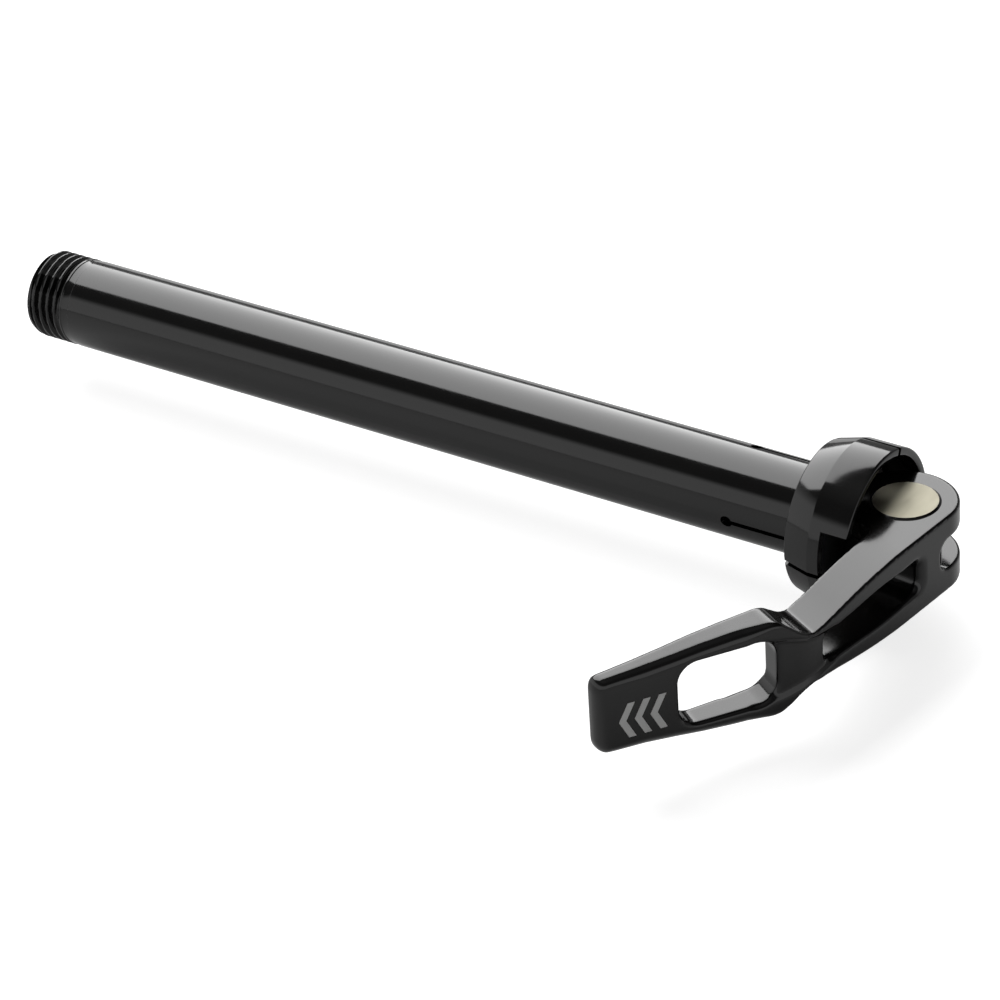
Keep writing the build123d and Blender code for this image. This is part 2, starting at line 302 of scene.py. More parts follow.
def turned(profile: Array, steps: int) -> tuple[Array, Array]:
    """Ring surface about X: each profile point (x, radius) goes round at equal angles.

    Args:
        profile: closed outline in (x, radius), anticlockwise.
        steps: points round the axis.

    Returns:
        Points in millimetres and quads.
    """
    angle = np.linspace(0, 2 * math.pi, steps, endpoint=False)
    x = np.repeat(profile[:, :1], steps, 1)
    y = profile[:, 1:] * np.cos(angle)
    z = profile[:, 1:] * np.sin(angle)
    return np.stack([x, y, z], -1).reshape(-1, 3), grid_faces(len(profile), steps, True, True)


def extruded(ring: Array, low: float, high: float) -> tuple[Array, list]:
    """Prism over a flat outline: the outline at two heights, a wall between them and two end faces.

    Args:
        ring: the outline's points.
        low: height of the lower end.
        high: height of the upper end.

    Returns:
        Points and faces.
    """
    count = len(ring)
    points = np.concatenate([
        np.column_stack([ring, np.full(count, low)]),
        np.column_stack([ring, np.full(count, high)]),
    ])
    ahead = (np.arange(count) + 1) % count
    walls = np.stack([np.arange(count), ahead, ahead + count, np.arange(count) + count], 1).tolist()
    return points, walls + [list(range(count - 1, -1, -1)), list(range(count, 2 * count))]


def cut(thing: Thing, *tools: Thing) -> None:
    """Take the tools' solids out of a piece with exact Booleans, and remove the tools.

    Args:
        thing: the piece.
        tools: the solids to take out.
    """
    for tool in tools:
        step = thing.modifiers.new("cut", "BOOLEAN")
        step.operation = "DIFFERENCE"
        step.solver = "EXACT"
        step.object = tool
    graph = bpy.context.evaluated_depsgraph_get()
    result = bpy.data.meshes.new_from_object(thing.evaluated_get(graph))
    thing.modifiers.clear()
    thing.data = result
    for tool in tools:
        bpy.data.objects.remove(tool, do_unlink=True)


def placed(points: Array, origin: tuple, x_way: tuple, y_way: tuple, z_way: tuple) -> Array:
    """Local points carried to a place: origin plus each coordinate times its direction."""
    return np.array(origin) + points @ np.array([x_way, y_way, z_way], float)


@dataclass
class FieldSkin:
    """Closed skin where a distance function is zero, on a grid of small cubes.

    Every cube that the surface passes through gets one point, the mean of the crossings on its edges.
    The points then move along the slope of the function until it is zero, with an even spacing.
    """

    low: tuple[float, float, float]
    high: tuple[float, float, float]
    step: float = 0.3
    rounds: int = 4
    probe: float = 0.02
    least_slope: float = 0.2
    longest_move: float = 0.2

    def build(self, distance: Distance) -> tuple[Array, Array]:
        """Points and quads of the skin of a distance function.

        Args:
            distance: function of three coordinate arrays, negative inside.

        Returns:
            Points in millimetres and quads that face outwards.
        """
        axes = [np.arange(a, b + self.step, self.step) for a, b in zip(self.low, self.high)]
        value = distance(*np.meshgrid(*axes, indexing="ij"))
        total, count = self.crossings(value)
        cells = np.argwhere(count > 0)
        number = np.full(count.shape, -1)
        number[tuple(cells.T)] = np.arange(len(cells))
        inside = total[tuple(cells.T)] / count[tuple(cells.T)][:, None]
        points = np.array(self.low) + (cells + inside) * self.step
        quads = self.quads(value < 0, number)
        for turn in range(self.rounds):
            if turn:
                points = self.evened(points, quads)
            points = self.settled(points, distance)
        return points, quads

    def crossings(self, value: Array) -> tuple[Array, Array]:
        """Sum and number of the edge crossings in each cube, by straight-line interpolation.

        Args:
            value: the function at the grid's corners.

        Returns:
            Sum of the crossings' places in the cube, and how many there are.
        """
        size = [n - 1 for n in value.shape]
        total, count = np.zeros((*size, 3)), np.zeros(size)
        for axis in range(3):
            others = [other for other in range(3) if other != axis]
            for first in (0, 1):
                for second in (0, 1):
                    start = [0, 0, 0]
                    start[others[0]], start[others[1]] = first, second
                    a = value[tuple(slice(s, s + n) for s, n in zip(start, size))]
                    start[axis] = 1
                    b = value[tuple(slice(s, s + n) for s, n in zip(start, size))]
                    crossed = (a < 0) != (b < 0)
                    share = np.where(crossed, a / np.where(crossed, a - b, 1), 0)
                    total[..., axis] += share
                    total[..., others[0]] += crossed * first
                    total[..., others[1]] += crossed * second
                    count += crossed
        return total, count

    def quads(self, solid: Array, number: Array) -> Array:
        """One quad round each grid edge with one end in the solid, turned to face out of it.

        Args:
            solid: whether each grid corner lies in the solid.
            number: index of each cube's point.

        Returns:
            Four point indices for each quad.
        """
        result = []
        for axis in range(3):
            near, far = (axis + 1) % 3, (axis + 2) % 3
            a = np.moveaxis(solid, (axis, near, far), (0, 1, 2))
            cell = np.moveaxis(number, (axis, near, far), (0, 1, 2))
            i, j, k = np.nonzero(a[:-1, 1:-1, 1:-1] != a[1:, 1:-1, 1:-1])
            round_edge = np.stack([
                cell[i, j, k], cell[i, j + 1, k], cell[i, j + 1, k + 1], cell[i, j, k + 1],
            ], 1)
            leaving = a[i, j + 1, k + 1]
            result.append(np.where(leaving[:, None], round_edge, round_edge[:, ::-1]))
        return np.concatenate(result)

    def evened(self, points: Array, quads: Array) -> Array:
        """Each point moved halfway to the mean of the points beside it.

        Args:
            points: the skin's points.
            quads: its faces.

        Returns:
            The moved points.
        """
        total, count = np.zeros_like(points), np.zeros(len(points))
        for shift in (1, 3):
            np.add.at(total, quads.ravel(), points[np.roll(quads, shift, 1).ravel()])
            np.add.at(count, quads.ravel(), 1)
        return (points + total / count[:, None]) / 2

    def settled(self, points: Array, distance: Distance) -> Array:
        """Points moved down the slope of the function to its zero, in three short steps.

        Args:
            points: the skin's points.
            distance: function of three coordinate arrays.

        Returns:
            The moved points.
        """
        for _ in range(3):
            slope = np.empty_like(points)
            for axis in range(3):
                shift = np.zeros(3)
                shift[axis] = self.probe
                ahead, behind = points + shift, points - shift
                slope[:, axis] = (distance(*ahead.T) - distance(*behind.T)) / (2 * self.probe)
            steep = np.maximum((slope**2).sum(1), self.least_slope)
            move = np.clip(distance(*points.T) / steep, -self.longest_move, self.longest_move)
            points = points - move[:, None] * slope
        return points


# Finishes


def math_node(
    tree: Tree, operation: str, value: Socket, factor: float, added: Socket | None = None,
) -> Socket:
    """A value times a factor, with another value added if given.

    Args:
        tree: the nodes to add to.
        operation: MULTIPLY or MULTIPLY_ADD.
        value: socket of the value.
        factor: what it is multiplied by.
        added: socket of what is added.

    Returns:
        The result's socket.
    """
    node = tree.nodes.new("ShaderNodeMath")
    node.operation = operation
    node.inputs[1].default_value = factor
    tree.links.new(value, node.inputs[0])
    if added is not None:
        tree.links.new(added, node.inputs[2])
    return node.outputs[0]


def map_range(
    tree: Tree, value: Socket, given: tuple[float, float], wanted: tuple[float, float],
) -> Socket:
    """A value carried in proportion from one range to another.

    Args:
        tree: the nodes to add to.
        value: socket of the value.
        given: ends of its range.
        wanted: what they become.

    Returns:
        The result's socket.
    """
    node = tree.nodes.new("ShaderNodeMapRange")
    for name, number in zip(("From Min", "From Max", "To Min", "To Max"), (*given, *wanted)):
        node.inputs[name].default_value = number
    tree.links.new(value, node.inputs["Value"])
    return node.outputs["Result"]


def mixed_colour(
    tree: Tree,
    share: Socket,
    first: Socket | tuple[float, float, float],
    second: Socket | tuple[float, float, float],
) -> Socket:
    """Mix of two colours, each a socket or a fixed colour.

    Args:
        tree: the nodes to add to.
        share: socket of the second colour's share.
        first: the first colour.
        second: the second colour.

    Returns:
        The result's socket.
    """
    node = tree.nodes.new("ShaderNodeMix")
    node.data_type = "RGBA"
    tree.links.new(share, node.inputs["Factor"])
    for name, colour in (("A", first), ("B", second)):
        if isinstance(colour, tuple):
            node.inputs[name].default_value = (*colour, 1)
        else:
            tree.links.new(colour, node.inputs[name])
    return node.outputs["Result"]


@dataclass(frozen=True)
class Finish:
    """A surface finish whose colour, roughness and fine relief vary with the place on the piece."""

    name: str
    colour: tuple[float, float, float]
    second_colour: tuple[float, float, float]
    metallic: float
    roughness: tuple[float, float]
    cloud_scale: float
    grain_scale: float
    grain_stretch: tuple[float, float, float]
    grain_height: float
    cloud_detail: float = 3.0
    grain_detail: float = 5.0
    noise_range: tuple[float, float] = (0.3, 0.7)

    def material(self) -> bpy.types.Material:
        """Material with clouded colour and roughness and a stretched fine grain.

        Returns:
            The new material, or the one already made for this finish.
        """
        made = bpy.data.materials.get(self.name)
        if made:
            return made
        made = bpy.data.materials.new(self.name)
        made.use_nodes = True
        tree = made.node_tree
        shader = tree.nodes["Principled BSDF"]
        shader.inputs["Metallic"].default_value = self.metallic
        clouds = self.noise(tree, self.cloud_scale, (1.0, 1.0, 1.0), self.cloud_detail)
        grain = self.noise(tree, self.grain_scale, self.grain_stretch, self.grain_detail)
        tint = mixed_colour(tree, clouds, self.colour, self.second_colour)
        tree.links.new(tint, shader.inputs["Base Color"])
        halved = math_node(tree, "MULTIPLY", clouds, 0.5)
        mixed = math_node(tree, "MULTIPLY_ADD", grain, 0.5, halved)
        tree.links.new(map_range(tree, mixed, self.noise_range, self.roughness), shader.inputs["Roughness"])
        relief = tree.nodes.new("ShaderNodeBump")
        relief.inputs["Distance"].default_value = self.grain_height * MM
        tree.links.new(grain, relief.inputs["Height"])
        tree.links.new(relief.outputs["Normal"], shader.inputs["Normal"])
        return made

    def noise(self, tree: Tree, scale: float, stretch: tuple, detail: float) -> Socket:
        """Noise on the piece's own coordinates, stretched along its axes.

        Args:
            tree: the material's nodes.
            scale: cells of noise in a metre.
            stretch: factor for each axis.
            detail: octaves.

        Returns:
            The noise value's socket.
        """
        place = tree.nodes.new("ShaderNodeTexCoord")
        mapping = tree.nodes.new("ShaderNodeMapping")
        mapping.inputs["Scale"].default_value = stretch
        tree.links.new(place.outputs["Object"], mapping.inputs["Vector"])
        noise = tree.nodes.new("ShaderNodeTexNoise")
        noise.inputs["Scale"].default_value = scale
        noise.inputs["Detail"].default_value = detail
        tree.links.new(mapping.outputs["Vector"], noise.inputs["Vector"])
        return noise.outputs["Fac"]


SHAFT_BLACK = Finish(
    "polished_black_anodising", (0.0030, 0.0029, 0.0028), (0.0050, 0.0048, 0.0046), 0.0, (0.07, 0.13),
    90.0, 900.0, (0.25, 1.0, 1.0), 0.0006,
)
LEVER_BLACK = Finish(
    "forged_black_gloss", (0.0030, 0.0029, 0.0028), (0.0055, 0.0052, 0.0050), 0.0, (0.09, 0.16),
    160.0, 1400.0, (1.0, 1.0, 1.0), 0.0009,
)
CHAMPAGNE = Finish(
    "brushed_champagne_anodising", (0.30, 0.283, 0.222), (0.35, 0.332, 0.264), 1.0, (0.50, 0.60),
    120.0, 1500.0, (1.0, 0.12, 1.0), 0.002,
)
ZINC_STEEL = Finish(
    "zinc_plated_steel", (0.50, 0.50, 0.49), (0.58, 0.58, 0.57), 1.0, (0.28, 0.45),
    200.0, 1800.0, (1.0, 1.0, 1.0), 0.003,
)
POLYMER = Finish(
    "glass_filled_polymer", (0.020, 0.020, 0.021), (0.030, 0.030, 0.031), 0.0, (0.45, 0.62),
    250.0, 2600.0, (1.0, 1.0, 1.0), 0.006,
)
RUBBER = Finish(
    "nitrile_rubber", (0.012, 0.012, 0.012), (0.020, 0.020, 0.020), 0.0, (0.60, 0.80),
    250.0, 3000.0, (1.0, 1.0, 1.0), 0.004,
)
PAD_PRINT = Finish(
    "grey_pad_print", (0.72, 0.72, 0.71), (0.78, 0.78, 0.77), 0.0, (0.35, 0.5),
    400.0, 3000.0, (1.0, 1.0, 1.0), 0.003,
)


def dress(thing: Thing, finish: Finish) -> None:
    """Give all faces of a piece one finish."""
    thing.data.materials.clear()
    thing.data.materials.append(finish.material())


def dress_node(node: str, finish: Finish) -> None:
    """Assign a finish to a carried-over node's material slots."""
    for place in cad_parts[node].material_slots:
        place.material = finish.material()


# The turned axle


@dataclass
class ThreadedShaft:
    """The turned axle with its thread, flared head, cup, slits and rim notch."""

    shaft_radius: float = 7.5
    bore_radius: float = 5.3
    end_x: float = -151.6
    pitch: float = 1.5
    thread_depth: float = 0.86
    thread_end: float = -144.2
    thread_chamfer: float = 0.45
    thread_crest: float = 0.16
    thread_flank: float = 0.66
    thread_steps: int = 16
    runout_depth: float = 0.12
    runout_length: float = 1.6
    shoulder_radius: float = 12.16
    head_radius: float = 13.42
    cone_length: float = 4.72
    head_length: float = 11.2
    cup_radius: float = 12.12
    cup_floor: float = 2.6
    seat_start: float = -9.0
    seat_end: float = -2.0
    seat_radius: float = 3.6
    passage_radius: float = 3.0
    slit_count: int = 3
    slit_width: float = 0.8
    slit_angle: float = -9.0
    relief_radius: float = 1.0
    relief_x: float = -13.0
    notch_half_angle: float = 33.5
    notch_bottom: float = 6.6
    overshoot: float = 3.0
    steps: int = 256

    def profile(self) -> Array:
        """Closed outline from the thread along the outside to the rim, then back through the cup and bore.

        Returns:
            (x, radius) rows.
        """
        root = self.thread_end + self.runout_length
        corners = [
            (self.end_x, self.bore_radius + 0.5, 0.02),
            (self.end_x, self.shaft_radius - self.thread_chamfer, 0.05),
            (self.end_x + self.thread_chamfer, self.shaft_radius, 0.1),
            (self.thread_end, self.shaft_radius, 0.05),
            (self.thread_end + 0.12, self.shaft_radius - self.runout_depth, 0.05),
            (root - 0.12, self.shaft_radius - self.runout_depth, 0.05),
            (root, self.shaft_radius, 0.05),
            (0.0, self.shaft_radius, 0.25),
            (0.0, self.shoulder_radius, 0.35),
            (self.cone_length, self.head_radius, 0.6),
            (self.head_length, self.head_radius, 0.35),
            (self.head_length, self.cup_radius, 0.3),
            (self.cup_floor, self.cup_radius, 0.8),
            (self.cup_floor, self.passage_radius, 0.2),
            (self.seat_end, self.passage_radius, 0.1),
            (self.seat_end, self.seat_radius, 0.1),
            (self.seat_start, self.bore_radius, 0.3),
            (self.end_x + 0.5, self.bore_radius, 0.1),
        ]
        ring = rounded_ring(corners, 4)
        start = self.end_x + self.thread_chamfer + 0.1
        turns = np.arange(start, self.thread_end - 0.1, self.pitch / self.thread_steps)
        thread = np.column_stack([turns, np.full(len(turns), self.shaft_radius)])
        after = int(np.argmax((ring[:, 0] > start) & (ring[:, 1] > self.shaft_radius - 0.01)))
        return np.insert(ring, after, thread, 0)

    def points(self) -> tuple[Array, Array]:
        """Turned points with the thread cut in.

        The thread's radius is the blank's less the depth times a flat-topped triangle wave of the
        place along the axis less the angle in turns, faded out at the runout.

        Returns:
            Points in millimetres and quads.
        """
        points, quads = turned(self.profile(), self.steps)
        x, y, z = points.T
        radius = np.hypot(y, z)
        phase = (x - self.end_x) / self.pitch - np.arctan2(z, y) / (2 * math.pi)
        wave = np.abs(phase % 1 - 0.5) * 2
        groove = np.clip((wave - self.thread_crest) / self.thread_flank, 0, 1)
        fade = np.clip((self.thread_end - 0.15 - x) / self.pitch * 1.6, 0, 1)
        cutter = self.shaft_radius - self.thread_depth * groove * fade
        threaded = (radius > self.bore_radius + 0.6) & (x < self.thread_end - 0.05)
        share = np.where(threaded, np.minimum(radius, cutter) / radius, 1.0)
        return np.column_stack([x, y * share, z * share]), quads[:, ::-1]

    def blade(self, angle: float) -> Thing:
        """Slit cutter: a keyhole outline carried from near the axis outwards.

        Args:
            angle: degrees about X from -Y.

        Returns:
            The cutter.
        """
        half, far = self.slit_width / 2, self.head_length + self.overshoot
        start = math.asin(half / self.relief_radius)
        turn = np.linspace(start, 2 * math.pi - start, 33)
        hole = np.column_stack([
            self.relief_x + self.relief_radius * np.cos(turn), self.relief_radius * np.sin(turn),
        ])
        ring = np.concatenate([hole, [[far, -half], [far, half]]])
        points, faces = extruded(ring, 0.5, self.head_radius + self.overshoot)
        slope = math.radians(angle)
        outward = (0.0, -math.cos(slope), math.sin(slope))
        across = (0.0, math.sin(slope), math.cos(slope))
        spots = placed(points, (0, 0, 0), (1, 0, 0), across, outward)
        return put_mesh("slit_blade", spots, faces)

    def sector(self) -> Thing:
        """Notch cutter: a sector through the rim, centred on the first slit.

        Returns:
            The cutter.
        """
        reach = self.head_radius + self.overshoot + 1
        half_width = reach * math.tan(math.radians(self.notch_half_angle))
        ring = np.array([[0.5, -0.3], [reach, -half_width], [reach, half_width], [0.5, 0.3]])
        points, faces = extruded(ring, self.notch_bottom, self.head_length + self.overshoot)
        slope = math.radians(self.slit_angle)
        outward = (0.0, -math.cos(slope), math.sin(slope))
        across = (0.0, math.sin(slope), math.cos(slope))
        spots = placed(points, (0, 0, 0), outward, across, (1, 0, 0))
        return put_mesh("notch_sector", spots, [face[::-1] for face in faces])

    def build(self) -> Thing:
        """Make the finished shaft, which stands for the node axle_shaft.

        Returns:
            The piece.
        """
        thing = put_mesh("threaded_axle_shaft", *self.points())
        turn = 360 / self.slit_count
        blades = [self.blade(self.slit_angle + index * turn) for index in range(self.slit_count)]
        cut(thing, *blades, self.sector())
        smooth(thing, 32)
        dress(thing, SHAFT_BLACK)
        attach(thing, Body.AXLE.value)
        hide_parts("axle_shaft")
        return thing


# The lever


@dataclass
class CamLever:
    """The forged lever: two cam ears, a slotted arm, a waist and a paddle with a finger hole.

    The side tables hold (distance along the lever, half height), those of the slot and the recess
    (place, half height), and the rounding tables (distance along the lever, edge radius).
    """

    pivot_x: float = 14.64
    cam_high: float = 9.8
    cam_lift: float = 0.01
    heel_radius: float = 9.3
    heel_drop: float = 2.2
    hub_fillet: float = 2.0
    hub_fillet_end: float = 17.0
    hub_half: float = 6.6
    arm_angle: float = 6.6
    arm_width: float = 7.6
    knuckle: tuple[float, float] = (18.7, -35.4)
    paddle_angle: float = 34.6
    paddle_taper: float = 4.8
    paddle_length: float = 34.9
    tip_thickness: float = 3.4
    side_angle: float = 28.4
    gap_half: float = 2.65
    gap_setback: float = 2.9
    gap_fillet: float = 2.2
    gap_edge: float = 0.45
    hole_length: float = 16.0
    hole_half: float = 5.4
    hole_margin: float = 13.4
    hole_fillet: float = 3.2
    hole_edge: float = 0.9
    bore_radius: float = 5.55
    bore_chamfer: float = 0.12
    bore_skin: float = 0.5
    recess_depth: float = 0.4
    recess_corner: float = 0.35
    recess_edge: float = 1.1
    recess_limit: float = 3.0
    arm_side: tuple = ((8.0, 6.6), (12.0, 6.45), (16.8, 6.0), (21.0, 5.42), (25.1, 4.75), (28.8, 4.35))
    ramp_side: tuple = ((28.8, 4.35), (31.0, 5.2), (33.2, 6.95), (34.4, 7.85), (35.6, 8.25), (37.2, 8.27))
    paddle_side: tuple = ((42.05, 8.08), (46.85, 7.74), (51.6, 7.22), (56.4, 6.78))
    tip_half: tuple[float, float] = (7.4, 6.32)
    tip_corner: float = 2.4
    tip_bulge: float = 0.35
    tip_margin: float = 0.12
    slot_side: tuple = ((7.3, 2.5), (12.0, 2.95), (18.0, 3.15), (25.5, 2.7), (31.3, 2.4))
    slot_corners: tuple[float, float] = (1.6, 1.35)
    recess_side: tuple = ((-43.5, 5.3), (-39.0, 4.4), (-36.0, 3.4), (-30.0, 2.5))
    outer_rounding: tuple = (
        (-6, 0.4), (22, 0.45), (28, 0.35), (33, 0.5), (36, 1.2), (40, 2.0), (56, 2.0), (61, 1.6),
    )
    inner_rounding: tuple = ((-6, 0.4), (32, 0.35), (36, 0.8), (56, 0.8), (61, 1.0))
    slot_rounding: tuple = ((6, 1.8), (12, 0.7), (22, 0.6), (32, 0.8))
    skin_low: tuple[float, float, float] = (-6.0, -66.0, -9.3)
    skin_high: tuple[float, float, float] = (25.0, 11.5, 9.3)

    def __post_init__(self) -> None:
        """Work out the corners that the outline, the paddle and the print share."""
        self.pivot = np.array([self.pivot_x, 0.0])
        self.arm_way = heading(-90 - self.arm_angle)
        self.paddle_way = heading(-90 - self.paddle_angle)
        self.along = heading(-90 - self.side_angle)
        self.outer_start = self.cam_points(np.array([-self.arm_angle]))[0]
        self.outer_knuckle = crossing(self.outer_start, self.arm_way, np.array(self.knuckle), self.paddle_way)
        self.inner_start = self.outer_start - heading(-self.arm_angle) * self.arm_width
        self.outer_tip = self.outer_knuckle + self.paddle_way * self.paddle_length
        self.inner_tip = self.outer_tip + heading(180 - self.paddle_angle) * self.tip_thickness
        taper_way = heading(-90 - self.paddle_angle + self.paddle_taper)
        self.inner_knuckle = crossing(self.inner_tip, taper_way, self.inner_start, self.arm_way)

    def cam_points(self, angle: Array) -> Array:
        """Cam outline: a flat face at each angle rests at a reach that grows evenly with the angle.

        Args:
            angle: degrees from +X, one for each point.

        Returns:
            (x, y) rows.
        """
        reach = self.cam_high - self.cam_lift * (180 - angle)
        slope = self.cam_lift * 180 / math.pi
        turn = np.radians(angle)
        ways = np.column_stack([np.cos(turn), np.sin(turn)])
        sides = np.column_stack([-np.sin(turn), np.cos(turn)])
        return self.pivot + ways * reach[:, None] + sides * slope

    def across(self, spot: Array) -> float:
        """Place of a flat point across the lever, from the pivot towards the outer side."""
        return float((spot - self.pivot) @ np.array([-self.along[1], self.along[0]]))

    def hub_ring(self) -> Array:
        """Cam outline closed by the heel's arc, whose radius eases into the cam's.

        Returns:
            (x, y) rows.
        """
        cam = self.cam_points(np.linspace(-self.arm_angle, 180, 96))
        turn = np.linspace(182, 350, 60)
        reach = (self.cam_high, self.heel_radius, self.heel_radius - self.heel_drop)
        radius = np.interp(turn, (180, 225, 350), reach)
        ways = np.column_stack([np.cos(np.radians(turn)), np.sin(np.radians(turn))])
        heel = self.pivot + ways * radius[:, None]
        return np.concatenate([cam, heel[heel[:, 1] < self.outer_start[1] - 0.5]])

    def arm_ring(self) -> Array:
        """Arm and paddle as seen along the pivot, with the two bends and the tip rounded.

        Returns:
            (x, y) rows.
        """
        return rounded_ring([
            (*self.outer_start, TINY_RADIUS),
            (*self.inner_start, TINY_RADIUS),
            (*self.inner_knuckle, 7.0),
            (*self.inner_tip, 1.0),
            (*self.outer_tip, 2.1),
            (*self.outer_knuckle, 10.0),
        ], 16)

    def side_ring(self) -> Array:
        """Side view: the half height along the lever and its mirror image, with an easy curve at the tip.

        Returns:
            (distance along the lever, height) rows.
        """
        reach = max((tip - self.pivot) @ self.along for tip in (self.inner_tip, self.outer_tip))
        reach += self.tip_margin
        arm = flowing(self.arm_side, 60, (0, -0.08))
        ramp = flowing(self.ramp_side, 60, (0.15, -0.06))
        tip = rounded_ring([
            (50.0, 0.0, TINY_RADIUS),
            (50.0, self.tip_half[0], TINY_RADIUS),
            (reach, self.tip_half[1], self.tip_corner),
            (reach + self.tip_bulge, 0.0, TINY_RADIUS),
        ], 14)
        tip = tip[(tip[:, 0] > 58) & (tip[:, 1] > 0.2)]
        upper = np.concatenate([[[-16.0, self.hub_half]], arm, ramp[1:], self.paddle_side, tip])
        return np.concatenate([upper, upper[::-1] * (1, -1)])

    def slot_ring(self) -> Array:
        """Slot through the arm, seen square to the arm's outer face: a lens with round ends.

        The four end corners get their arcs, and the points beside them make way.

        Returns:
            (distance down the arm, height) rows.
        """
        upper = flowing(self.slot_side, 30, (0.12, -0.05))
        corners = [(x, y, TINY_RADIUS) for x, y in upper] + [(x, -y, TINY_RADIUS) for x, y in upper[::-1]]
        for index, radius in zip((0, 59, 29, 30), np.repeat(self.slot_corners, 2)):
            corners[index] = (*corners[index][:2], radius)
        kept = corners[:1] + corners[3:27] + corners[29:31] + corners[33:57] + corners[59:]
        return rounded_ring(kept, 8)

    def recess_ring(self) -> Array:
        """Shallow recess in the outer face, from the finger hole to the slot's end.

        Returns:
            (y, z) rows.
        """
        half = self.recess_side
        corners = [(y, z, 0.5) for y, z in half] + [(y, -z, 0.5) for y, z in half[::-1]]
        return rounded_ring(corners[::-1], 6)

    def distance(self) -> Distance:
        """Distance function of the whole lever.

        The arm joined to the hub with a filled corner, shared with the side view by rounded edges,
        less the slot, the recess, the finger hole and the fork gap, each with rounded edges, and less
        a pin bore that is bore_skin smaller in radius than bore_radius.

        Returns:
            The function, in millimetres and negative inside.
        """
        hub, arm = DistanceMap(self.hub_ring()), DistanceMap(self.arm_ring())
        side, slot = DistanceMap(self.side_ring()), DistanceMap(self.slot_ring())
        recess = DistanceMap(self.recess_ring())
        inner, outer = (
            np.array([((spot - self.pivot) @ self.along, self.across(spot)) for spot in spots]).T
            for spots in (
                (self.inner_start, self.inner_knuckle, self.inner_tip),
                (self.outer_start, self.outer_knuckle, self.outer_tip),
            )
        )

        def value(x: Array, y: Array, z: Array) -> Array:
            """Distance at each point.

            Args:
                x: first coordinates.
                y: second coordinates.
                z: third coordinates.

            Returns:
                Distances of the same shape.
            """
            height = np.abs(z)
            along = (x - self.pivot_x) * self.along[0] + y * self.along[1]
            fillet = np.where(x < self.hub_fillet_end, self.hub_fillet, 0.001)
            outline = round_or(hub.at(x, y), arm.at(x, y), fillet)
            across = (x - self.pivot_x) * self.along[1] * -1 + y * self.along[0]
            inner_face, outer_face = np.interp(along, *inner), np.interp(along, *outer)
            share = np.clip((across - inner_face) / (outer_face - inner_face), 0, 1)
            outer_edge = table_value(along, self.outer_rounding)
            inner_edge = table_value(along, self.inner_rounding)
            shape = round_and(outline, side.at(along, z), inner_edge + (outer_edge - inner_edge) * share)
            down_arm = (x - self.pivot_x) * self.arm_way[0] + y * self.arm_way[1]
            shape = round_and(shape, -slot.at(down_arm, z), table_value(down_arm, self.slot_rounding))
            pocket = round_and(recess.at(y, z), -(arm.at(x, y) + self.recess_depth), self.recess_corner)
            pocket = np.maximum(pocket, self.recess_limit - across)
            shape = round_and(shape, -pocket, self.recess_edge)
            tip_x, tip_y = self.outer_tip
            up_paddle = -(x - tip_x) * self.paddle_way[0] - (y - tip_y) * self.paddle_way[1]
            half = self.hole_length / 2
            beyond = np.abs(up_paddle - (self.hole_margin + half)) - half
            hole = round_and(beyond, height - self.hole_half, self.hole_fillet)
            shape = round_and(shape, -hole, self.hole_edge)
            gap = round_and(-self.gap_setback - y, height - self.gap_half, self.gap_fillet)
            shape = round_and(shape, -gap, self.gap_edge)
            return np.maximum(shape, self.bore_radius - self.bore_skin - np.hypot(x - self.pivot_x, y))

        return value

    def pin_cutter(self, side: int) -> Thing:
        """Cutter for the pin bore of one ear with a small chamfer, turned about the pivot axis.

        The Boolean takes away only slivers near the middle with it, so in the ears the bore keeps
        the distance function's smaller radius, hidden by the pin.

        Args:
            side: 1 for the upper ear, -1 for the lower.

        Returns:
            The cutter.
        """
        wide = self.bore_radius + self.bore_chamfer
        ring = rounded_ring([
            (-1.0, 0.001, 0.0005),
            (-1.0, self.bore_radius, 0.01),
            (self.hub_half - self.bore_chamfer, self.bore_radius, 0.02),
            (self.hub_half, wide, 0.02),
            (self.hub_half + 2, wide, 0.02),
            (self.hub_half + 2, 0.001, 0.0005),
        ], 3)
        points, quads = turned(ring, 160)
        return put_mesh("pin_cutter", self.upright(points, side), quads[:, ::-1])

    def upright(self, points: Array, side: int = 1) -> Array:
        """Points turned about X carried onto the pivot axis, up or down."""
        return np.column_stack([points[:, 1] + self.pivot_x, points[:, 2] * side, points[:, 0] * side])

    def build(self) -> Thing:
        """Make the finished lever, which stands for the node lever.

        Returns:
            The piece.
        """
        skin = FieldSkin(self.skin_low, self.skin_high)
        thing = put_mesh("forged_lever", *skin.build(self.distance()))
        cut(thing, self.pin_cutter(1), self.pin_cutter(-1))
        smooth(thing, 40)
        dress(thing, LEVER_BLACK)
        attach(thing, Body.LEVER.value)
        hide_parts("lever")
        return thing


